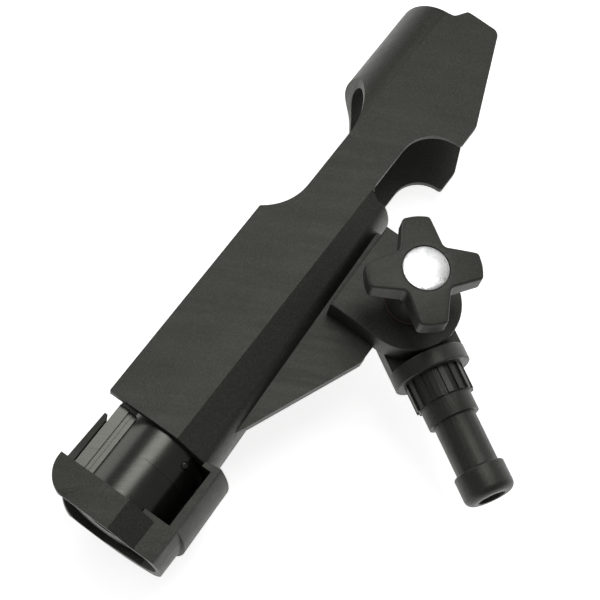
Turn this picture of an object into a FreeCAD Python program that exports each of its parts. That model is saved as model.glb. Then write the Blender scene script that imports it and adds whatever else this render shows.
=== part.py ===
import FreeCAD, Part
import math
import os

from FreeCAD import Vector

# Rod holder with a tilting cradle, a turning lock ring and a splined post.
# Millimetres, +Z up along the post. The origin is on the post axis at the
# underside of its flange, the face that rests on a socket.
#
# The cradle is drawn lying flat in its own frame: x runs along the tube
# towards the hood, y across it, z towards the open top, with the tilt pivot
# at x = 0, z = 0 and the middle of the tube at y = 0. seat() then tilts it
# and lifts it onto the post.

# ---- where the cradle sits on the post ----
REST_TILT = 31.0          # degrees the front droops below level
PIVOT_HEIGHT = 32.5       # pivot above the flange underside
POST_OFFSET = -9.0        # post axis measured from the middle of the tube

# ---- tube section ----
TUBE_HALF = 26.0          # half of the outside width
WALL = 3.0
TUBE_INNER_R = TUBE_HALF - WALL
CREASE_Z = 44.6           # sharp crease low on each side
LEAN_Z = 57.0             # above this the side leans in a little
NECK_Z = 69.5
NECK_HALF = 25.3
TROUGH_TOP = 81.0
TROUGH_TOP_HALF = 24.7
HOOD_CREST = 88.7
HOOD_ROOF = 4.8           # the roof of the hood is thicker than its sides
BEVEL_SLOPE = 0.4255      # inward travel of the bevel per mm of drop
BEVEL_FOOT = 6.1          # bevel foot above the lowest point of the tube
BOTTOM_FRONT = 24.8
BOTTOM_REAR = 31.1

# ---- side view stations, along the tube ----
FRONT_X = -116.5
FLOOR_END_X = 34.5
HOOD_END_X = 143.0
FLOOR_END_R = 118.0       # rounded end of the trough floor seen from above
FLOOR_EDGE_X = 33.3       # where that round end meets the sides
FLOOR_EDGE_Z = 36.9
UNDER_TUBE_Z = 10.0       # a level below the tube, inside the lug
WALL_STEP_X = -3.4        # top of the wall starts down to the neck here
NECK_FRONT_X = 5.4
NECK_REAR_X = 68.2        # neck starts up to the hood here
HOOD_FRONT_X = 84.7
HOOD_FRONT_Z = 83.2
CREST_END_X = 131.2       # the crest of the hood stops short of its sides
REAR_STEP_X = 136.8
REAR_STEP_Z = 65.2
REAR_TOP_Z = 61.2
REAR_LOW_Z = 43.5
HEEL_X = 92.9             # lowest corner of the hood's side
HEEL_Z = 24.0
HOOD_FOOT_Z = 20.0
ARCH_REAR_X = 80.4        # arched opening under the neck
ARCH_FRONT_X = 31.2
FAR_ARCH_Z = 41.0         # the arch stands lower on the far side
FAR_OUT = 120.0           # beyond everything, for cutting tools
OVERRUN = 1.0             # how far a cut or a joint runs past its face
LONG_OVERRUN = 5.0
SLACK = 0.001             # tolerance when edges are picked by position

# ---- tilt lug and gusset under the tube ----
LUG_R = 24.0
LUG_NEAR_Y = -26.0
LUG_FAR_Y = -13.0
GUSSET_NEAR_Y = -14.5
GUSSET_FAR_Y = -8.5
EAR_ROOM_X = 30.0         # room behind the lug for the post ear to swing in
EAR_ROOM_Z = 22.0
LUG_EDGE_R = 0.9
BOLT_R = 4.0
BOLT_CLEAR = 0.3
TEETH = 36
TOOTH_IN_R = 9.0
TOOTH_OUT_R = 17.0
TOOTH_SINK = 0.9          # depth of the ring the teeth stand in
TOOTH_HEIGHT = 0.8
TOOTH_HALF_WIDTH = 0.65
TOOTH_ROOT = 0.3          # how far the teeth run into the solid around them
LUG_TOP_FRONT = 27.6
LUG_TOP_REAR = 28.8
STEM_TOP = 38.0
GUSSET_REAR_X = -20.0
GUSSET_TOP_Z = 34.0
GUSSET_HEEL_X = -33.5
GUSSET_HEEL_Z = 1.8
GUSSET_TIP_X = -95.0
GUSSET_TIP_Z = 27.0

# ---- front sleeve ----
AXIS_Z = 50.8             # centre line of the round front end
SLEEVE_R = 23.3
SLEEVE_INNER_R = 20.5
SLEEVE_END_X = -156.0
SLEEVE_GAP = 0.5
SPIGOT_R = 22.9
SPIGOT_END_X = -104.5
SLOT_HALF = 17.0
LIP_WALL = 1.4            # upright wall beside the slot
LIP_THICK = 3.0           # rib along its top
LIP_TOP = 74.2
LIP_RIB_Z = 69.3
LIP_BEAD_Z = 67.3         # thin bead under the rib
LIP_BEAD = 0.7
LIP_BEAD_STAND = 0.6
SNAP_X = -153.2
SNAP_WIDTH = 1.6
SNAP_HEIGHT = 0.8
SNAP_PLAY = 0.4
LIP_FOOT_Z = 62.0
PARTING_X = -131.8
PARTING_HALF = 0.25
PARTING_DEPTH = 0.2
PIN_R = 1.8
PIN_ROUND = 0.9
PIN_STAND = 1.0
PIN_SHORT = 0.3
PIN_FIT = 0.02
PIN_BACK = 5.5
PIN_BELOW = 40.0          # degrees below level

# ---- lock ring ----
RING_BORE = 23.6
RING_HUB_R = 25.5
BAND_REAR_X = -150.8
BAND_NEAR_FRONT_X = -166.7
BAND_FAR_FRONT_X = -157.1
BAND_THICK = 3.0
BAND_INNER_R = 31.0
BAND_FLAT_HALF = 20.0     # half width of the flattened underside of the band
BAND_FLAT_DROP = 4.1      # how far that underside bows down
SHELL_FRONT_X = -148.2
SHELL_FRONT_R = 36.0
SHELL_REAR_R = 35.0
SHELL_INNER_R = 32.7
SHELL_TAIL_X = -114.3     # tail of the shell, low under the tube
SHELL_REAR_X = -117.0     # rest of the shell stops short of the tube
TAIL_LOW_Z = 22.0
TAIL_HIGH_Z = 38.0
RIM_LOW_Z = 80.0          # upper rim of the shell reaches back again above this
RIM_HIGH_Z = 81.5
TAIL_FLANGE_R = 29.2
TAIL_FLANGE_X = -118.2
FLANGE_ROOT = 0.5         # how far the inner flange runs into the shell
SHELL_CUT_Y = -20.0       # flat cut edge of the shell, low on the near side
SHELL_TOP_Y = 13.5        # upper edge of the shell, beside the slot
WEB_THICK = 3.0
TAB_TOP = 80.6
TAB_TOP_Y = -24.7
BAND_FOOT_Z = 31.0
FINGER_R = 14.0           # rounding of the two front top corners

# ---- knob, bolt, washers and nut ----
WASHER_R = 12.1
WASHER_THICK = 1.5
WASHER_FIT = 0.05
LOOSE_GAP = 0.3
KNOB_TIP_R = 26.0
KNOB_VALLEY_R = 13.8
KNOB_VALLEY_ROUND = 3.2
KNOB_TIP_HALF_ANGLE = 13.9
KNOB_LOBES = 4
KNOB_TURN = 73.8
KNOB_THICK = 10.0
KNOB_HUB_R = 11.8
KNOB_FACE_Y = -61.2       # front of the lobes at their tips
KNOB_CROWN = 2.2
KNOB_TIP_BOW = 0.2
KNOB_BOW_R = 20.0
KNOB_CORNER_R = 2.2
KNOB_EDGE_R = 1.2
HEAD_R = 10.3
HEAD_TOP_Y = -64.0
HEAD_HEIGHT = 2.4
HEAD_EDGE = 1.4
HEAD_PLAY = 0.5
HEAD_ROOT = 0.5           # how far the square neck runs into the head
BOLT_TIP = 0.8
NECK_SIDE = 8.0
NECK_LENGTH = 5.0
BOLT_END_Y = 6.5
NUT_FLATS = 13.0
NUT_THICK = 6.5
NUT_NEAR_Y = -2.4
NUT_BEVEL = 0.5
NUT_FIT = 0.05

# ---- post ----
EAR_NEAR_Y = -12.6
EAR_FAR_Y = -1.0
EAR_R = 18.0
NUT_BOSS_R = 11.0
NUT_BOSS_Y = 4.4
FLANGE_R = 18.4
FLANGE_THICK = 8.0
FLANGE_EDGE = 0.8
BARREL_R = 13.1
SPLINE_R = 14.1
SPLINES = 16
SPLINE_WIDTH = 2.5
BARREL_END = 12.8
COLLAR_R = 12.2
COLLAR_END = 22.3
SHAFT_R = 10.1
SHAFT_END = 47.2
BULB_R = 12.1
BULB_END = 61.5
BULB_ROUND = 3.8
BULB_SHOULDER = 1.2
POST_BORE_R = 6.5
POST_BORE_DEPTH = 42.0


# ---------------------------------------------------------------- helpers

def edge_line(a, b):
    return Part.LineSegment(a, b).toShape()


def rounded_wire(corners, to_space):
    """Closed wire through corners (u, v, radius), each rounded by its radius."""
    count = len(corners)
    starts = []
    ends = []
    middles = []
    for i in range(count):
        u, v, radius = corners[i]
        here = Vector(u, v, 0)
        before = Vector(corners[i - 1][0], corners[i - 1][1], 0)
        after = Vector(corners[(i + 1) % count][0], corners[(i + 1) % count][1], 0)
        back = (before - here).normalize()
        ahead = (after - here).normalize()
        if radius <= 0:
            starts.append(here)
            ends.append(here)
            middles.append(None)
            continue
        half = back.getAngle(ahead) / 2
        reach = radius / math.tan(half)
        centre_way = (back + ahead).normalize()
        centre = here + centre_way * (radius / math.sin(half))
        starts.append(here + back * reach)
        ends.append(here + ahead * reach)
        middles.append(centre - centre_way * radius)
    edges = []
    for i in range(count):
        if middles[i] is not None:
            arc = Part.Arc(to_space(starts[i]), to_space(middles[i]), to_space(ends[i]))
            edges.append(arc.toShape())
        leave = to_space(ends[i])
        reach_next = to_space(starts[(i + 1) % count])
        if leave.distanceToPoint(reach_next) > 1e-6:
            edges.append(edge_line(leave, reach_next))
    return Part.Wire(Part.__sortEdges__(edges))


def side_prism(corners, y_from, y_to):
    """Outline drawn in the side view (x, z), extruded across the tube."""
    wire = rounded_wire(corners, lambda p: Vector(p.x, y_from, p.y))
    return Part.Face(wire).extrude(Vector(0, y_to - y_from, 0))


def box(x0, x1, y0, y1, z0, z1):
    return Part.makeBox(x1 - x0, y1 - y0, z1 - z0, Vector(x0, y0, z0))


def rod_x(radius, x0, x1, z=AXIS_Z):
    return Part.makeCylinder(radius, x1 - x0, Vector(x0, 0, z), Vector(1, 0, 0))


def rod_y(radius, y0, y1):
    return Part.makeCylinder(radius, y1 - y0, Vector(0, y0, 0), Vector(0, 1, 0))


def rod_z(radius, z0, z1):
    return Part.makeCylinder(radius, z1 - z0, Vector(0, 0, z0), Vector(0, 0, 1))


def seat(shape):
    """Tilt a cradle part and lift it onto the post."""
    placed = shape.copy()
    placed.rotate(Vector(0, 0, 0), Vector(0, 1, 0), -REST_TILT)
    placed.translate(Vector(0, -POST_OFFSET, PIVOT_HEIGHT))
    return placed


def raise_onto_pivot(shape):
    """Place a part drawn round the pivot axis but not tilted with the cradle."""
    placed = shape.copy()
    placed.translate(Vector(0, -POST_OFFSET, PIVOT_HEIGHT))
    return placed


def save(shape, node):
    shape.removeSplitter().exportStep("parts/" + node + ".step")


# ---------------------------------------------------------------- cradle

def tube_bottom(x):
    share = (x - FRONT_X) / (FLOOR_END_X - FRONT_X)
    return BOTTOM_FRONT + share * (BOTTOM_REAR - BOTTOM_FRONT)


def trough_outline(x):
    """Outer section of the trough at station x: a deep U with bevelled sides."""
    low = tube_bottom(x)
    foot_y = TUBE_HALF - (CREASE_Z - low - BEVEL_FOOT) * BEVEL_SLOPE
    keel_y = TUBE_HALF - (CREASE_Z - low) * BEVEL_SLOPE
    side = [(TROUGH_TOP_HALF, TROUGH_TOP), (NECK_HALF, NECK_Z)]
    side += [(TUBE_HALF, LEAN_Z), (TUBE_HALF, CREASE_Z), (foot_y, low + BEVEL_FOOT)]
    near = [Vector(x, -y, z) for y, z in side]
    far = [Vector(x, y, z) for y, z in side]
    edges = [edge_line(near[i], near[i + 1]) for i in range(len(near) - 1)]
    curves = [(near[-1], Vector(x, -keel_y, low), Vector(x, 0, low))]
    curves.append((Vector(x, 0, low), Vector(x, keel_y, low), far[-1]))
    for poles in curves:
        curve = Part.BezierCurve()
        curve.setPoles(list(poles))
        edges.append(curve.toShape())
    edges += [edge_line(far[i + 1], far[i]) for i in reversed(range(len(far) - 1))]
    edges.append(edge_line(far[0], near[0]))
    return Part.Wire(edges)


def across(points, x0, x1):
    """Section drawn in (y, z), extruded along the tube."""
    loop = [Vector(x0, y, z) for y, z in points + points[:1]]
    return Part.Face(Part.makePolygon(loop)).extrude(Vector(x1 - x0, 0, 0))


def trough_channel():
    """Everything inside the trough: a round floor that rises towards the back."""
    x0 = FRONT_X - LONG_OVERRUN
    x1 = FLOOR_END_X
    low = Vector(x0, 0, tube_bottom(x0) + TUBE_HALF)
    high = Vector(x1, 0, tube_bottom(x1) + TUBE_HALF)
    bore = Part.makeCylinder(TUBE_INNER_R, (high - low).Length, low, high - low)
    walls = side_prism([(x0, low.z, 0), (x1, high.z, 0), (x1, FAR_OUT, 0), (x0, FAR_OUT, 0)],
                       -TUBE_INNER_R, TUBE_INNER_R)
    neck_y = NECK_HALF - WALL
    top_y = TROUGH_TOP_HALF - WALL
    side = [(TUBE_INNER_R, 0), (TUBE_INNER_R, LEAN_Z), (neck_y, NECK_Z), (top_y, TROUGH_TOP)]
    side.append((top_y, FAR_OUT))
    lean = across(side + [(-y, z) for y, z in reversed(side)], x0 - LONG_OVERRUN, x1 + LONG_OVERRUN)
    return bore.fuse(walls).common(lean)


def hood_section(x0, x1, inset, roof_inset, bottom):
    """Inverted U with a domed roof, its sides and roof moved in by their insets."""
    half = TUBE_HALF - inset
    neck = NECK_HALF - inset
    crest = HOOD_CREST - roof_inset
    near = [Vector(x0, -half, bottom), Vector(x0, -half, LEAN_Z), Vector(x0, -neck, NECK_Z)]
    far = [Vector(x0, half, bottom), Vector(x0, half, LEAN_Z), Vector(x0, neck, NECK_Z)]
    dome = Part.Ellipse(Vector(x0, neck, NECK_Z), Vector(x0, 0, crest), Vector(x0, 0, NECK_Z))
    arc = Part.ArcOfEllipse(dome, 0, math.pi).toShape()
    edges = [edge_line(near[0], near[1]), edge_line(near[1], near[2]), arc]
    edges += [edge_line(far[2], far[1]), edge_line(far[1], far[0]), edge_line(far[0], near[0])]
    return Part.Face(Part.Wire(edges)).extrude(Vector(x1 - x0, 0, 0))


def cradle_side_outline(arch_z, arch_round, foot_round):
    """The cradle from the side, front end round to the floor: (x, z, corner radius)."""
    return [
        (FRONT_X, UNDER_TUBE_Z, 0), (FRONT_X, TROUGH_TOP, 0.8),
        (WALL_STEP_X, TROUGH_TOP, 1.0), (NECK_FRONT_X, NECK_Z, 27.0),
        (NECK_REAR_X, NECK_Z, 44.0), (HOOD_FRONT_X, HOOD_FRONT_Z, 10.6),
        (HOOD_FRONT_X, FAR_OUT, 0), (CREST_END_X, FAR_OUT, 0),
        (REAR_STEP_X, REAR_STEP_Z, 3.4), (HOOD_END_X, REAR_TOP_Z, 2.0),
        (HOOD_END_X, REAR_LOW_Z, 4.4), (HEEL_X, HEEL_Z, 4.0),
        (ARCH_REAR_X, HEEL_Z, 1.6), (ARCH_REAR_X, arch_z, arch_round),
        (ARCH_FRONT_X, arch_z, foot_round), (FLOOR_EDGE_X, FLOOR_EDGE_Z, 0),
        (FLOOR_EDGE_X, UNDER_TUBE_Z, 0),
    ]


def radial_teeth(base_y, way):
    """Ring of V teeth round the pivot, rising from the plane y = base_y."""
    tip_y = base_y + way * TOOTH_HEIGHT
    root_y = base_y - way * TOOTH_ROOT
    start = TOOTH_IN_R - TOOTH_ROOT
    section = Part.makePolygon([
        Vector(start, root_y, -TOOTH_HALF_WIDTH),
        Vector(start, root_y, TOOTH_HALF_WIDTH),
        Vector(start, tip_y, 0),
        Vector(start, root_y, -TOOTH_HALF_WIDTH)])
    tooth = Part.Face(section).extrude(Vector(TOOTH_OUT_R + TOOTH_ROOT - start, 0, 0))
    teeth = []
    for i in range(TEETH):
        copy = tooth.copy()
        copy.rotate(Vector(0, 0, 0), Vector(0, 1, 0), i * 360.0 / TEETH)
        teeth.append(copy)
    return teeth


def toothed_face(shape, face_y, way):
    """Sink a ring of teeth into the face at y = face_y."""
    base_y = face_y - way * TOOTH_SINK
    low, high = sorted((base_y, face_y + way))
    sink = rod_y(TOOTH_OUT_R, low, high).cut(rod_y(TOOTH_IN_R, low, high))
    return shape.cut(sink).fuse(radial_teeth(base_y, way))


def tilt_lug():
    """Thick rounded lug that carries the pivot, set on the near side."""
    plate = side_prism([(-LUG_R, 0, 0), (LUG_R, 0, 0), (LUG_R, LUG_TOP_REAR, 0), (-LUG_R, LUG_TOP_FRONT, 0)],
                       LUG_NEAR_Y, LUG_FAR_Y)
    plate = plate.fuse(rod_y(LUG_R, LUG_NEAR_Y, LUG_FAR_Y)).removeSplitter()
    rims = [e for e in plate.Edges if e.BoundBox.YMax < LUG_NEAR_Y + SLACK]
    return plate.makeFillet(LUG_EDGE_R, rims)


def gusset():
    """Web under the tube: a stem over the lug and a triangle that braces the front."""
    stem = box(-LUG_R, LUG_R, GUSSET_NEAR_Y, GUSSET_FAR_Y, UNDER_TUBE_Z, STEM_TOP)
    outline = [(GUSSET_REAR_X, GUSSET_TOP_Z, 0), (GUSSET_REAR_X, GUSSET_HEEL_Z, 0)]
    outline += [(GUSSET_HEEL_X, GUSSET_HEEL_Z, 3.5), (GUSSET_TIP_X, GUSSET_TIP_Z, 0)]
    outline.append((GUSSET_TIP_X, GUSSET_TOP_Z, 0))
    web = side_prism(outline, GUSSET_NEAR_Y, GUSSET_FAR_Y).fuse(stem)
    return web.cut(box(-EAR_ROOM_X, EAR_ROOM_X, LUG_FAR_Y, 0, -EAR_ROOM_X, EAR_ROOM_Z))


def floor_tongue(trough):
    """Rounded end of the trough floor, seen from above under the arch."""
    plan = Part.makeCylinder(FLOOR_END_R, FAR_OUT, Vector(FLOOR_END_X - FLOOR_END_R, 0, 0))
    plan = plan.common(box(0, FLOOR_END_X, -TUBE_HALF, TUBE_HALF, 0, FLOOR_EDGE_Z))
    return trough.common(plan)


def make_cradle():
    trough = Part.makeLoft([trough_outline(FRONT_X), trough_outline(FLOOR_END_X)], True, True)
    hood = hood_section(FLOOR_END_X, HOOD_END_X, 0, 0, HOOD_FOOT_Z)
    near_view = side_prism(cradle_side_outline(CREASE_Z, 18.9, 5.8), -FAR_OUT, 0)
    far_view = side_prism(cradle_side_outline(FAR_ARCH_Z, 15.3, 3.0), 0, FAR_OUT)
    body = trough.fuse(hood).common(near_view.fuse(far_view))
    body = body.fuse([floor_tongue(trough), tilt_lug(), gusset()])
    body = body.cut(trough_channel())
    body = body.cut(hood_section(FLOOR_END_X, HOOD_END_X + LONG_OVERRUN, WALL, HOOD_ROOF, -FAR_OUT))
    body = toothed_face(body, LUG_FAR_Y, 1)
    return body.cut(rod_y(BOLT_R + BOLT_CLEAR, LUG_NEAR_Y - OVERRUN, LUG_FAR_Y + OVERRUN))


# ---------------------------------------------------------------- front sleeve

def slot_cutter(x0, x1, half):
    return box(x0, x1, -half, half, AXIS_Z, FAR_OUT)


def make_sleeve():
    """Glossy C-shaped sleeve that the lock ring turns on."""
    seam_x = FRONT_X - SLEEVE_GAP
    body = rod_x(SLEEVE_R, SLEEVE_END_X, seam_x)
    body = body.fuse(rod_x(SPIGOT_R, seam_x, SPIGOT_END_X))
    body = body.fuse(rod_x(SLEEVE_R + SNAP_HEIGHT, SNAP_X - SNAP_WIDTH / 2, SNAP_X + SNAP_WIDTH / 2))
    rib_x = BAND_REAR_X + SLEEVE_GAP
    for thick, z0, z1 in ((LIP_WALL, LIP_FOOT_Z, LIP_TOP), (LIP_THICK, LIP_RIB_Z, LIP_TOP),
                          (LIP_WALL + LIP_BEAD_STAND, LIP_BEAD_Z, LIP_BEAD_Z + LIP_BEAD)):
        for side in (-1, 1):
            low, high = sorted((side * SLOT_HALF, side * (SLOT_HALF + thick)))
            body = body.fuse(box(rib_x, seam_x, low, high, z0, z1))
    body = body.cut(rod_x(SLEEVE_INNER_R, SLEEVE_END_X - OVERRUN, SPIGOT_END_X + OVERRUN))
    body = body.cut(slot_cutter(SLEEVE_END_X - OVERRUN, SPIGOT_END_X + OVERRUN, SLOT_HALF))
    for side in (-1, 1):
        body = body.cut(pin_shank(side, PIN_R + PIN_FIT, SLEEVE_INNER_R - OVERRUN, SLEEVE_R + OVERRUN))
    line = rod_x(SLEEVE_R + OVERRUN, PARTING_X - PARTING_HALF, PARTING_X + PARTING_HALF)
    line = line.cut(rod_x(SLEEVE_R - PARTING_DEPTH, PARTING_X - OVERRUN, PARTING_X + OVERRUN))
    return body.cut(line.cut(slot_cutter(PARTING_X - OVERRUN, PARTING_X + OVERRUN, SLEEVE_R + OVERRUN)))


def pin_shank(side, radius, start_r, end_r):
    """Rod pointing outwards through the sleeve wall, low on one side."""
    drop = math.radians(PIN_BELOW)
    way = Vector(0, side * math.cos(drop), -math.sin(drop))
    foot = Vector(FRONT_X - PIN_BACK, 0, AXIS_Z) + way * start_r
    return Part.makeCylinder(radius, end_r - start_r, foot, way)


def make_sleeve_pins():
    """Two dome headed pins pressed into the sleeve, one on each side."""
    pins = []
    for side in (-1, 1):
        pin = pin_shank(side, PIN_R, SLEEVE_INNER_R + PIN_SHORT, SLEEVE_R + PIN_STAND)
        rims = [e for e in pin.Edges if e.Closed]
        outer = max(rims, key=lambda e: -e.CenterOfMass.z)
        pins.append(pin.makeFillet(PIN_ROUND, [outer]))
    return Part.makeCompound(pins)


# ---------------------------------------------------------------- lock ring

def band_outline(x):
    """Outer section of the band: flat near side, flattened foot, round far side."""
    foot_z = AXIS_Z - math.sqrt(SHELL_FRONT_R ** 2 - SHELL_CUT_Y ** 2)
    rim = Vector(x, SHELL_TOP_Y, AXIS_Z + math.sqrt(SHELL_FRONT_R ** 2 - SHELL_TOP_Y ** 2))
    near = [(TAB_TOP_Y, TAB_TOP), (-TUBE_HALF, LEAN_Z), (-TUBE_HALF, CREASE_Z)]
    near += [(SHELL_CUT_Y, BAND_FOOT_Z), (SHELL_CUT_Y, foot_z)]
    points = [Vector(x, y, z) for y, z in near]
    edges = [edge_line(points[i], points[i + 1]) for i in range(len(points) - 1)]
    foot = Vector(x, BAND_FLAT_HALF, foot_z)
    edges.append(Part.Arc(points[-1], Vector(x, 0, foot_z - BAND_FLAT_DROP), foot).toShape())
    edges.append(Part.Arc(foot, Vector(x, SHELL_FRONT_R, AXIS_Z), rim).toShape())
    edges.append(edge_line(rim, points[0]))
    return Part.Wire(edges)


def band_hollow(x0, x1):
    """Inside of the band, open at the top."""
    inset = BAND_THICK
    foot_y = SHELL_CUT_Y + inset
    foot_z = AXIS_Z - math.sqrt(BAND_INNER_R ** 2 - foot_y ** 2)
    rim_z = AXIS_Z + math.sqrt(SHELL_INNER_R ** 2 - SHELL_TOP_Y ** 2)
    near = [(SHELL_TOP_Y, FAR_OUT), (TAB_TOP_Y + inset, FAR_OUT), (TAB_TOP_Y + inset, TAB_TOP)]
    near += [(-TUBE_HALF + inset, LEAN_Z), (-TUBE_HALF + inset, CREASE_Z), (foot_y, BAND_FOOT_Z)]
    near.append((foot_y, foot_z))
    points = [Vector(x0, y, z) for y, z in near]
    edges = [edge_line(points[i], points[i + 1]) for i in range(len(points) - 1)]
    side = Vector(x0, SHELL_INNER_R, AXIS_Z)
    low_turn = BAND_INNER_R * math.sqrt(0.5)
    low = Vector(x0, low_turn, AXIS_Z - low_turn)
    rim = Vector(x0, SHELL_TOP_Y, rim_z)
    edges.append(Part.Arc(points[-1], Vector(x0, 0, AXIS_Z - BAND_INNER_R), low).toShape())
    edges.append(edge_line(low, side))
    high_turn = SHELL_INNER_R * math.sqrt(0.5)
    edges.append(Part.Arc(side, Vector(x0, high_turn, AXIS_Z + high_turn), rim).toShape())
    edges.append(edge_line(rim, points[0]))
    return Part.Face(Part.Wire(edges)).extrude(Vector(x1 - x0, 0, 0))


def slanted_front():
    """Space kept by the slanted front face, its two top corners rounded off."""
    x_out = BAND_NEAR_FRONT_X - OVERRUN
    slope = (BAND_FAR_FRONT_X - BAND_NEAR_FRONT_X) / (SHELL_FRONT_R + TUBE_HALF)
    near_x = BAND_NEAR_FRONT_X - slope * TUBE_HALF
    far_x = BAND_FAR_FRONT_X + slope * TUBE_HALF
    corners = [(near_x, -2 * TUBE_HALF), (SHELL_FRONT_X + OVERRUN, -2 * TUBE_HALF)]
    corners += [(SHELL_FRONT_X + OVERRUN, SHELL_FRONT_R + TUBE_HALF), (far_x, SHELL_FRONT_R + TUBE_HALF)]
    loop = [Vector(x, y, 0) for x, y in corners + corners[:1]]
    keep = Part.Face(Part.makePolygon(loop)).extrude(Vector(0, 0, FAR_OUT))
    round_z = TAB_TOP - FINGER_R
    for front_x, y0, y1 in ((BAND_NEAR_FRONT_X, -TUBE_HALF - OVERRUN, 0),
                            (BAND_FAR_FRONT_X - OVERRUN, SHELL_TOP_Y - OVERRUN, SHELL_FRONT_R + OVERRUN)):
        round_x = front_x + FINGER_R
        corner = side_prism([(x_out, round_z, 0), (round_x, round_z, 0),
                             (round_x, FAR_OUT, 0), (x_out, FAR_OUT, 0)], y0, y1)
        pillar = Part.makeCylinder(FINGER_R, y1 - y0, Vector(round_x, y0, round_z), Vector(0, 1, 0))
        keep = keep.cut(corner.cut(pillar))
    return keep


def ring_shell():
    """Part-round guard behind the band, with a short tail under the tube."""
    x0 = SHELL_FRONT_X
    x1 = SHELL_TAIL_X
    outer = Part.makeCone(SHELL_FRONT_R, SHELL_REAR_R, x1 - x0, Vector(x0, 0, AXIS_Z), Vector(1, 0, 0))
    shell = outer.cut(rod_x(SHELL_INNER_R, x0 - OVERRUN, x1 + OVERRUN))
    flange = rod_x(SHELL_INNER_R + FLANGE_ROOT, TAIL_FLANGE_X, x1)
    flange = flange.cut(rod_x(TAIL_FLANGE_R, TAIL_FLANGE_X - OVERRUN, x1 + OVERRUN))
    flange = flange.cut(box(TAIL_FLANGE_X - OVERRUN, x1 + OVERRUN, -FAR_OUT, FAR_OUT, TAIL_HIGH_Z, FAR_OUT))
    side = [(x0, 0, 0), (x1, 0, 0), (x1, TAIL_LOW_Z, 0), (SHELL_REAR_X, TAIL_HIGH_Z, 0)]
    side += [(SHELL_REAR_X, RIM_LOW_Z, 0), (x1, RIM_HIGH_Z, 0), (x1, FAR_OUT, 0), (x0, FAR_OUT, 0)]
    return shell.fuse(flange).common(side_prism(side, -FAR_OUT, FAR_OUT))


def shell_cuts(x0, x1):
    """What the open near side and the slot take away behind the band."""
    window = box(x0, x1, -FAR_OUT, SHELL_CUT_Y, -FAR_OUT, FAR_OUT)
    return window.fuse(box(x0, x1, -FAR_OUT, SHELL_TOP_Y, AXIS_Z, FAR_OUT))


def make_lock_ring():
    """Collar, finger tab and part-round shell in one moulding."""
    web_x = BAND_REAR_X - WEB_THICK
    front_x = BAND_NEAR_FRONT_X - OVERRUN
    band = Part.Face(band_outline(front_x)).extrude(Vector(SHELL_FRONT_X - front_x, 0, 0))
    band = band.common(slanted_front()).cut(band_hollow(front_x, web_x))
    band = band.cut(band_hollow(BAND_REAR_X, SHELL_FRONT_X + OVERRUN))
    band = band.cut(shell_cuts(BAND_REAR_X, SHELL_FRONT_X + OVERRUN))
    rim_edge = band.common(box(front_x, SHELL_FRONT_X, SHELL_TOP_Y, SLOT_HALF, RIM_LOW_Z - OVERRUN, FAR_OUT))
    ring = band.fuse(rod_x(RING_HUB_R, SLEEVE_END_X, BAND_REAR_X))
    ring = ring.cut(rod_x(RING_BORE, front_x, SHELL_FRONT_X + OVERRUN))
    groove_half = SNAP_WIDTH / 2 + SNAP_PLAY
    ring = ring.cut(rod_x(RING_BORE + SNAP_HEIGHT, SNAP_X - groove_half, SNAP_X + groove_half))
    ring = ring.cut(slot_cutter(front_x, SHELL_FRONT_X + OVERRUN, SLOT_HALF)).fuse(rim_edge)
    return ring.fuse(ring_shell().cut(shell_cuts(SHELL_FRONT_X - OVERRUN, SHELL_TAIL_X + OVERRUN)))


# ---------------------------------------------------------------- clamp parts

def knob_outline():
    """Corners of the lobes: straight tapering sides and nearly flat tips."""
    corners = []
    step = 360.0 / KNOB_LOBES
    for i in range(KNOB_LOBES):
        middle = KNOB_TURN + i * step
        for radius, degrees, rounding in (
                (KNOB_TIP_R, middle - KNOB_TIP_HALF_ANGLE, KNOB_CORNER_R),
                (KNOB_TIP_R + KNOB_TIP_BOW, middle, KNOB_BOW_R),
                (KNOB_TIP_R, middle + KNOB_TIP_HALF_ANGLE, KNOB_CORNER_R),
                (KNOB_VALLEY_R, middle + step / 2, KNOB_VALLEY_ROUND)):
            angle = math.radians(degrees)
            corners.append((radius * math.cos(angle), radius * math.sin(angle), rounding))
    return corners


def make_knob():
    back_y = KNOB_FACE_Y + KNOB_THICK
    front_y = KNOB_FACE_Y - 2 * KNOB_CROWN
    lobes = side_prism(knob_outline(), front_y, back_y)
    crown_r = (KNOB_TIP_R ** 2 + KNOB_CROWN ** 2) / (2 * KNOB_CROWN)
    dome = Part.makeSphere(crown_r, Vector(0, KNOB_FACE_Y - KNOB_CROWN + crown_r, 0))
    lobes = lobes.common(dome)
    rims = [e for e in lobes.Edges if e.BoundBox.YLength < KNOB_CROWN]
    lobes = lobes.makeFillet(KNOB_EDGE_R, rims)
    hub_end = LUG_NEAR_Y - LOOSE_GAP - WASHER_THICK - WASHER_FIT
    knob = lobes.fuse(rod_y(KNOB_HUB_R, back_y - OVERRUN, hub_end))
    seat_y = HEAD_TOP_Y + HEAD_HEIGHT
    knob = knob.cut(rod_y(HEAD_R + HEAD_PLAY, HEAD_TOP_Y - LONG_OVERRUN, seat_y))
    knob = knob.cut(rod_y(BOLT_R, seat_y - OVERRUN, hub_end + OVERRUN))
    half = NECK_SIDE / 2
    return knob.cut(box(-half, half, seat_y - OVERRUN, seat_y + NECK_LENGTH, -half, half))


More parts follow.
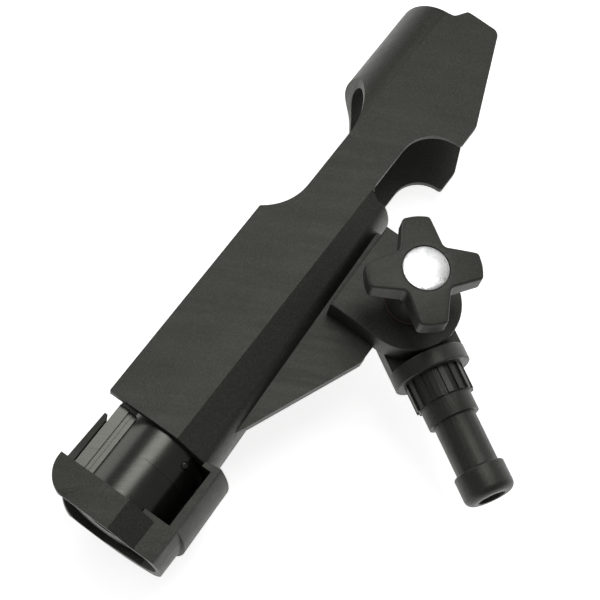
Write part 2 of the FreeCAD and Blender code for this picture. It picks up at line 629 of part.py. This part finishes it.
def make_bolt():
    """Round-headed bolt with a square neck that keys into the knob."""
    seat_y = HEAD_TOP_Y + HEAD_HEIGHT
    rise = HEAD_HEIGHT - HEAD_EDGE
    dome_r = (HEAD_R ** 2 + rise ** 2) / (2 * rise)
    head = rod_y(HEAD_R, HEAD_TOP_Y, seat_y)
    head = head.common(Part.makeSphere(dome_r, Vector(0, HEAD_TOP_Y + dome_r, 0)))
    half = NECK_SIDE / 2
    bolt = head.fuse(box(-half, half, seat_y - HEAD_ROOT, seat_y + NECK_LENGTH, -half, half))
    shank = rod_y(BOLT_R, seat_y, BOLT_END_Y)
    tip = [e for e in shank.Edges if abs(e.Vertexes[0].Y - BOLT_END_Y) < 1e-6 and e.Closed]
    return bolt.fuse(shank.makeChamfer(BOLT_TIP, tip))


def make_washer():
    far_y = LUG_NEAR_Y - LOOSE_GAP
    ring = rod_y(WASHER_R, far_y - WASHER_THICK, far_y)
    return ring.cut(rod_y(BOLT_R + BOLT_CLEAR, far_y - 2 * WASHER_THICK, far_y + OVERRUN))


def hexagon(flats, y0, y1):
    across_corners = flats / math.sqrt(3)
    loop = []
    for i in range(7):
        angle = math.radians(30 + 60 * i)
        loop.append(Vector(across_corners * math.cos(angle), y0, across_corners * math.sin(angle)))
    return Part.Face(Part.makePolygon(loop)).extrude(Vector(0, y1 - y0, 0))


def make_nut():
    far_y = NUT_NEAR_Y + NUT_THICK
    nut = hexagon(NUT_FLATS, NUT_NEAR_Y, far_y)
    corner_r = NUT_FLATS / math.sqrt(3)
    cone = Part.makeCone(corner_r + NUT_THICK, corner_r - NUT_BEVEL, NUT_THICK + NUT_BEVEL,
                         Vector(0, NUT_NEAR_Y - NUT_BEVEL, 0), Vector(0, 1, 0))
    return nut.common(cone).cut(rod_y(BOLT_R + NUT_FIT, NUT_NEAR_Y - OVERRUN, far_y + OVERRUN))


# ---------------------------------------------------------------- post

def post_ear():
    """Upright ear with a round top, its edges following the round flange."""
    ear = rod_y(EAR_R, EAR_NEAR_Y, EAR_FAR_Y)
    ear = ear.fuse(box(-EAR_R, EAR_R, EAR_NEAR_Y, EAR_FAR_Y, FLANGE_THICK - PIVOT_HEIGHT - OVERRUN, 0))
    ear = ear.fuse(rod_y(NUT_BOSS_R, EAR_FAR_Y - OVERRUN, NUT_BOSS_Y))
    ear = toothed_face(ear, EAR_NEAR_Y, -1)
    ear = ear.cut(rod_y(BOLT_R + BOLT_CLEAR, EAR_NEAR_Y - OVERRUN, NUT_BOSS_Y + OVERRUN))
    ear = ear.cut(hexagon(NUT_FLATS + 2 * NUT_FIT, NUT_NEAR_Y, NUT_BOSS_Y + OVERRUN))
    placed = raise_onto_pivot(ear)
    return placed.common(rod_z(FLANGE_R, 0, 2 * PIVOT_HEIGHT))


def post_stem():
    """Splined barrel, collar, plain shaft and rounded end, below the flange."""
    stem = rod_z(BARREL_R, -BARREL_END, OVERRUN)
    for i in range(SPLINES):
        spline = box(BARREL_R - OVERRUN, SPLINE_R, -SPLINE_WIDTH / 2, SPLINE_WIDTH / 2, -BARREL_END, OVERRUN)
        spline.rotate(Vector(0, 0, 0), Vector(0, 0, 1), i * 360.0 / SPLINES)
        stem = stem.fuse(spline)
    stem = stem.fuse(rod_z(COLLAR_R, -COLLAR_END, -BARREL_END))
    stem = stem.fuse(rod_z(SHAFT_R, -SHAFT_END, -COLLAR_END))
    bulb = rod_z(BULB_R, -BULB_END, -SHAFT_END)
    for level, rounding in ((-SHAFT_END, BULB_SHOULDER), (-BULB_END, BULB_ROUND)):
        rims = [e for e in bulb.Edges if e.Closed and abs(e.CenterOfMass.z - level) < SLACK]
        bulb = bulb.makeFillet(rounding, rims)
    return stem.fuse(bulb)


def make_post():
    flange = rod_z(FLANGE_R, 0, FLANGE_THICK)
    rims = [e for e in flange.Edges if e.Closed]
    flange = flange.makeFillet(FLANGE_EDGE, rims)
    post = post_ear().fuse(flange).fuse(post_stem())
    return post.cut(rod_z(POST_BORE_R, -BULB_END - OVERRUN, -BULB_END + POST_BORE_DEPTH))


os.makedirs("parts", exist_ok=True)
save(make_post(), "post")
save(raise_onto_pivot(make_nut()), "hex_nut")
save(raise_onto_pivot(make_bolt()), "pivot_bolt")
save(raise_onto_pivot(make_knob()), "knob")
save(raise_onto_pivot(make_washer()), "knob_washer")
save(seat(make_cradle()), "cradle_body")
save(seat(make_sleeve()), "front_sleeve")
save(seat(make_sleeve_pins()), "sleeve_pins")
save(seat(make_lock_ring()), "lock_ring")
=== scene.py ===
import math

import bpy
from mathutils import Matrix, Vector


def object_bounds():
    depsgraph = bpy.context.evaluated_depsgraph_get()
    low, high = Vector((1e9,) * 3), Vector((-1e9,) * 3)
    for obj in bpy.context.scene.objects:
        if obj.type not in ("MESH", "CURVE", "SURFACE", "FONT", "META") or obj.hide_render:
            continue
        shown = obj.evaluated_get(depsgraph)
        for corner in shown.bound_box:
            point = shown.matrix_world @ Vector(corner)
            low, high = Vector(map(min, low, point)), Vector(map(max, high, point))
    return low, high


# Looks, lights and camera for the rod holder. Metres, same frame as the CAD:
# +Z up along the post, origin under the post flange, knob on the -Y side.

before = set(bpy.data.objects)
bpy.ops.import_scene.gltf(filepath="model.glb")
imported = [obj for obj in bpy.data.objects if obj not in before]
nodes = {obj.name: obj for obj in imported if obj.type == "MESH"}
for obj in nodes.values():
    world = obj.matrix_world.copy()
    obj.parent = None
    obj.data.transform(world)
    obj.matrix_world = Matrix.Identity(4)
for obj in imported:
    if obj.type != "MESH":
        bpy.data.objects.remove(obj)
cad_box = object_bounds()

MM = 0.001
CRADLE_TILT = math.radians(31.0)

# Linear base colours of the moulded plastic, and the slightly warm tint of its shine.
DARK = (0.0100, 0.0102, 0.0083)
LIGHT = (0.0170, 0.0173, 0.0146)
POLISHED = (0.0060, 0.0062, 0.0053)
WARM_TINT = (1.0, 1.0, 0.91, 1.0)

# Edge radii in millimetres, given to every sharp edge of these CAD nodes.
EDGE_RADII = {
    "cradle_body": 0.45, "lock_ring": 0.45, "knob": 0.3, "post": 0.3,
    "hex_nut": 0.15, "knob_washer": 0.2, "pivot_bolt": 0.2,
}
SHARP_ANGLE = math.radians(38.0)
WELD_DISTANCE = 0.02 * MM

# Stage: the backdrop's half size and distance behind the holder, how much it glows,
# and how bright the world is as a light and to look at.
BACKDROP_HALF = 3.0
BACKDROP_GAP = 2 * MM
BACKDROP_GREY = (0.93, 0.93, 0.93)
BACKDROP_GLOW = 0.75
WORLD_AS_LIGHT = 0.26
WORLD_AS_SEEN = 1.0
LIGHT_TARGET = Vector((0.0, 0.0, 0.02))

# Camera: long lens, below the holder and rolled, aimed along CAMERA_FORWARD.
SENSOR_WIDTH = 36.0
FOCAL_LENGTH = 116.97
CAMERA_PLACE = (-0.2806, -0.8151, -0.2073)
CAMERA_RIGHT = Vector((0.9049, -0.1348, -0.4033))
CAMERA_FORWARD = Vector((0.2685, 0.9166, 0.2961))


# ---------------------------------------------------------------- node helpers

def new_material(name):
    """Empty node material with a Principled shader already wired to the output."""
    material = bpy.data.materials.new(name)
    material.use_nodes = True
    tree = material.node_tree
    tree.nodes.clear()
    output = tree.nodes.new("ShaderNodeOutputMaterial")
    shader = tree.nodes.new("ShaderNodeBsdfPrincipled")
    tree.links.new(shader.outputs["BSDF"], output.inputs["Surface"])
    return material, tree, shader


def place(tree, scale=(1.0, 1.0, 1.0), turn=0.0):
    """Object coordinates, turned about Y and stretched, in metres."""
    source = tree.nodes.new("ShaderNodeTexCoord")
    mapping = tree.nodes.new("ShaderNodeMapping")
    mapping.vector_type = "TEXTURE"
    mapping.inputs["Rotation"].default_value = (0.0, turn, 0.0)
    stretch = tree.nodes.new("ShaderNodeMapping")
    stretch.inputs["Scale"].default_value = scale
    tree.links.new(source.outputs["Object"], mapping.inputs["Vector"])
    tree.links.new(mapping.outputs["Vector"], stretch.inputs["Vector"])
    return stretch.outputs["Vector"]


def noise(tree, vector, size, detail=4.0, roughness=0.5):
    """Noise whose features are about size metres across."""
    node = tree.nodes.new("ShaderNodeTexNoise")
    node.inputs["Scale"].default_value = 1.0 / size
    node.inputs["Detail"].default_value = detail
    node.inputs["Roughness"].default_value = roughness
    tree.links.new(vector, node.inputs["Vector"])
    return node.outputs["Fac"]


def ramp(tree, value, stops):
    """Colour ramp through (position, colour) stops."""
    node = tree.nodes.new("ShaderNodeValToRGB")
    elements = node.color_ramp.elements
    while len(elements) < len(stops):
        elements.new(0.5)
    for element, (position, colour) in zip(elements, stops):
        element.position = position
        element.color = (*colour, 1.0)
    tree.links.new(value, node.inputs["Fac"])
    return node.outputs["Color"]


def remap(tree, value, low, high, to_low, to_high):
    """Value from low..high carried to to_low..to_high, and held at those ends."""
    node = tree.nodes.new("ShaderNodeMapRange")
    node.inputs["From Min"].default_value = low
    node.inputs["From Max"].default_value = high
    node.inputs["To Min"].default_value = to_low
    node.inputs["To Max"].default_value = to_high
    tree.links.new(value, node.inputs["Value"])
    return node.outputs["Result"]


def blend(tree, factor, first, second):
    """Colour between first and second. The Mix node's colour sockets share their names
    with its number sockets, so they are taken by type."""
    node = tree.nodes.new("ShaderNodeMix")
    node.data_type = "RGBA"
    tree.links.new(factor, node.inputs["Factor"])
    colours = [s for s in node.inputs if s.type == "RGBA"]
    tree.links.new(first, colours[0])
    tree.links.new(second, colours[1])
    return [s for s in node.outputs if s.type == "RGBA"][0]


def bump(tree, height, depth, strength, below=None):
    """Bump of depth metres; below is a bump that this one sits on."""
    node = tree.nodes.new("ShaderNodeBump")
    node.inputs["Strength"].default_value = strength
    node.inputs["Distance"].default_value = depth
    tree.links.new(height, node.inputs["Height"])
    if below is not None:
        tree.links.new(below, node.inputs["Normal"])
    return node.outputs["Normal"]


# ---------------------------------------------------------------- materials

def moulded_plastic(name, dark, light, grain, rough, turn=CRADLE_TILT):
    """Black moulded plastic with spark-etched grain, faint flow marks and rubs."""
    material, tree, shader = new_material(name)
    vector = place(tree, turn=turn)
    cloud = noise(tree, vector, 0.045, 3.0)
    fleck = noise(tree, vector, grain * 1.6, 5.0, 0.75)
    base = ramp(tree, cloud, [(0.3, dark), (0.7, light)])
    deep = tuple(0.6 * c for c in dark)
    bright = tuple(2.6 * c for c in light)
    speck = ramp(tree, fleck, [(0.40, deep), (0.66, bright)])
    mottled = blend(tree, remap(tree, fleck, 0.40, 0.70, 0.45, 0.95), base, speck)
    along = place(tree, scale=(0.12, 1.0, 1.0), turn=turn)
    scuff = noise(tree, along, 0.006, 6.0, 0.7)
    rubbed = ramp(tree, scuff, [(0.0, light), (1.0, tuple(2.2 * c for c in light))])
    mask = remap(tree, scuff, 0.60, 0.78, 0.0, 0.55)
    tree.links.new(blend(tree, mask, mottled, rubbed), shader.inputs["Base Color"])
    tree.links.new(remap(tree, scuff, 0.35, 0.75, rough + 0.04, rough - 0.08), shader.inputs["Roughness"])
    shader.inputs["Specular IOR Level"].default_value = 0.5
    shader.inputs["Specular Tint"].default_value = WARM_TINT
    pores = noise(tree, vector, grain, 2.0, 0.6)
    waves = noise(tree, vector, 0.018, 2.0)
    swell = bump(tree, waves, 0.0004, 0.25)
    tree.links.new(bump(tree, pores, grain * 0.30, 0.8, swell), shader.inputs["Normal"])
    return material


def gloss_plastic(name, colour, rough):
    """Polished black plastic with hairline scratches along the tube."""
    material, tree, shader = new_material(name)
    along = place(tree, scale=(0.05, 1.0, 1.0), turn=CRADLE_TILT)
    streak = noise(tree, along, 0.0010, 5.0, 0.7)
    vector = place(tree, turn=CRADLE_TILT)
    haze = noise(tree, vector, 0.010, 5.0, 0.6)
    brighter = tuple(1.6 * c for c in colour)
    tree.links.new(ramp(tree, haze, [(0.35, colour), (0.75, brighter)]), shader.inputs["Base Color"])
    tree.links.new(remap(tree, streak, 0.3, 0.7, rough - 0.03, rough + 0.05), shader.inputs["Roughness"])
    shader.inputs["Specular IOR Level"].default_value = 0.75
    shader.inputs["Specular Tint"].default_value = WARM_TINT
    ripple = noise(tree, vector, 0.009, 2.0)
    gentle = bump(tree, ripple, 0.00004, 0.3)
    tree.links.new(bump(tree, streak, 0.00002, 0.2, gentle), shader.inputs["Normal"])
    return material


def zinc(name):
    """Bright zinc plate: pale metal with soft grey clouding and fine scratches."""
    material, tree, shader = new_material(name)
    vector = place(tree)
    cloud = noise(tree, vector, 0.004, 5.0, 0.6)
    tree.links.new(ramp(tree, cloud, [(0.35, (0.66, 0.67, 0.67)), (0.6, (0.92, 0.92, 0.91))]),
                   shader.inputs["Base Color"])
    shader.inputs["Metallic"].default_value = 1.0
    tree.links.new(remap(tree, cloud, 0.3, 0.7, 0.34, 0.24), shader.inputs["Roughness"])
    hair = noise(tree, place(tree, scale=(1.0, 1.0, 0.06)), 0.0005, 3.0)
    tree.links.new(bump(tree, hair, 0.00002, 0.3), shader.inputs["Normal"])
    return material


def fibre(name):
    """Pressed brown fibre washer."""
    material, tree, shader = new_material(name)
    vector = place(tree)
    strands = noise(tree, vector, 0.0008, 6.0, 0.7)
    tree.links.new(ramp(tree, strands, [(0.3, (0.028, 0.016, 0.012)), (0.75, (0.075, 0.042, 0.030))]),
                   shader.inputs["Base Color"])
    tree.links.new(remap(tree, strands, 0.3, 0.7, 0.75, 0.55), shader.inputs["Roughness"])
    tree.links.new(bump(tree, strands, 0.0001, 0.5), shader.inputs["Normal"])
    return material


def dress(node, material):
    """Make material the only one on a CAD node."""
    mesh = nodes[node].data
    mesh.materials.clear()
    mesh.materials.append(material)


def soften(node, width):
    """Small moulded radius on every sharp edge of a CAD node."""
    part = nodes[node]
    weld = part.modifiers.new("weld", "WELD")
    weld.merge_threshold = WELD_DISTANCE
    bevel = part.modifiers.new("edge radius", "BEVEL")
    bevel.width = width
    bevel.segments = 3
    bevel.limit_method = "ANGLE"
    bevel.angle_limit = SHARP_ANGLE
    bevel.use_clamp_overlap = True
    bevel.harden_normals = True
    bevel.miter_outer = "MITER_ARC"


# ---------------------------------------------------------------- stage

def one_sided(name, colour, glow):
    """Pale matt surface with a little light of its own, seen only from its front."""
    material, tree, shader = new_material(name)
    output = [n for n in tree.nodes if n.type == "OUTPUT_MATERIAL"][0]
    shader.inputs["Base Color"].default_value = (*colour, 1.0)
    shader.inputs["Roughness"].default_value = 0.9
    shader.inputs["Specular IOR Level"].default_value = 0.1
    shader.inputs["Emission Color"].default_value = (1.0, 1.0, 1.0, 1.0)
    shader.inputs["Emission Strength"].default_value = glow
    clear = tree.nodes.new("ShaderNodeBsdfTransparent")
    chooser = tree.nodes.new("ShaderNodeMixShader")
    geometry = tree.nodes.new("ShaderNodeNewGeometry")
    tree.links.new(geometry.outputs["Backfacing"], chooser.inputs["Fac"])
    tree.links.new(shader.outputs["BSDF"], chooser.inputs[1])
    tree.links.new(clear.outputs["BSDF"], chooser.inputs[2])
    tree.links.new(chooser.outputs["Shader"], output.inputs["Surface"])
    return material


def add_backdrop():
    """Pale sheet just behind the holder, so it is seen as if lying on a table."""
    depth = cad_box[1][1] + BACKDROP_GAP
    half = BACKDROP_HALF
    mesh = bpy.data.meshes.new("backdrop")
    corners = [(-half, depth, -half), (half, depth, -half), (half, depth, half), (-half, depth, half)]
    mesh.from_pydata(corners, [], [(0, 1, 2, 3)])
    sheet = bpy.data.objects.new("backdrop", mesh)
    bpy.context.collection.objects.link(sheet)
    mesh.materials.append(one_sided("backdrop_paper", BACKDROP_GREY, BACKDROP_GLOW))
    sheet.visible_shadow = False
    sheet.visible_diffuse = False


def add_area_light(name, way, distance, size, power):
    """Square soft box, distance metres from the target in direction way, facing it."""
    data = bpy.data.lights.new(name, "AREA")
    data.shape = "SQUARE"
    data.size = size
    data.energy = power
    light = bpy.data.objects.new(name, data)
    bpy.context.collection.objects.link(light)
    outward = Vector(way).normalized()
    light.location = LIGHT_TARGET + outward * distance
    light.rotation_euler = outward.to_track_quat("Z", "Y").to_euler()


def cradle_way(along, across, up):
    """Direction given in the cradle's own frame, turned into the frame of the CAD."""
    c = math.cos(CRADLE_TILT)
    s = math.sin(CRADLE_TILT)
    return Vector((along * c - up * s, across, along * s + up * c))


def add_world():
    """Even surroundings: white to look at, and dimmer as a light on the holder."""
    world = bpy.data.worlds.new("studio")
    bpy.context.scene.world = world
    world.use_nodes = True
    tree = world.node_tree
    background = tree.nodes["Background"]
    background.inputs["Color"].default_value = (1.0, 1.0, 1.0, 1.0)
    path = tree.nodes.new("ShaderNodeLightPath")
    strength = remap(tree, path.outputs["Is Camera Ray"], 0.0, 1.0, WORLD_AS_LIGHT, WORLD_AS_SEEN)
    tree.links.new(strength, background.inputs["Strength"])


def add_lights():
    """Soft boxes: three placed round the cradle, one from the side, one from behind."""
    add_area_light("key", cradle_way(0.22, -1.0, 0.13), 0.9, 0.42, 2.1)
    add_area_light("fill", cradle_way(0.52, -0.90, 0.25), 1.0, 0.60, 0.9)
    add_area_light("top", cradle_way(0.1, -0.35, 1.0), 0.9, 0.6, 1.7)
    add_area_light("side", (1.0, -0.30, 0.20), 1.0, 0.7, 1.1)
    add_area_light("back", (0.3, 1.0, 0.6), 0.9, 0.7, 4.0)


def add_camera():
    """Camera below the holder and rolled, which is the angle of the main view."""
    data = bpy.data.cameras.new("camera")
    data.sensor_width = SENSOR_WIDTH
    data.lens = FOCAL_LENGTH
    camera = bpy.data.objects.new("camera", data)
    bpy.context.collection.objects.link(camera)
    right = CAMERA_RIGHT.normalized()
    forward = CAMERA_FORWARD.normalized()
    up = right.cross(forward)
    turn = Matrix((right, up, -forward)).transposed()
    camera.matrix_world = Matrix.Translation(CAMERA_PLACE) @ turn.to_4x4()
    bpy.context.scene.camera = camera


# ---------------------------------------------------------------- build

grained = moulded_plastic("grained_black", DARK, LIGHT, 0.0005, 0.47)
knob_skin = moulded_plastic("knob_black", DARK, LIGHT, 0.0004, 0.47, turn=0.0)
satin = moulded_plastic("satin_black", DARK, LIGHT, 0.0003, 0.40, turn=0.0)
polished = gloss_plastic("polished_black", POLISHED, 0.24)
plate = zinc("zinc_plate")

dress("cradle_body", grained)
dress("lock_ring", grained)
dress("knob", knob_skin)
dress("post", satin)
dress("front_sleeve", polished)
dress("sleeve_pins", polished)
dress("pivot_bolt", plate)
dress("hex_nut", plate)
dress("knob_washer", fibre("brown_fibre"))

for node, radius in EDGE_RADII.items():
    soften(node, radius * MM)

add_backdrop()
add_world()
add_lights()
add_camera()

bpy.context.scene.view_settings.view_transform = "Standard"
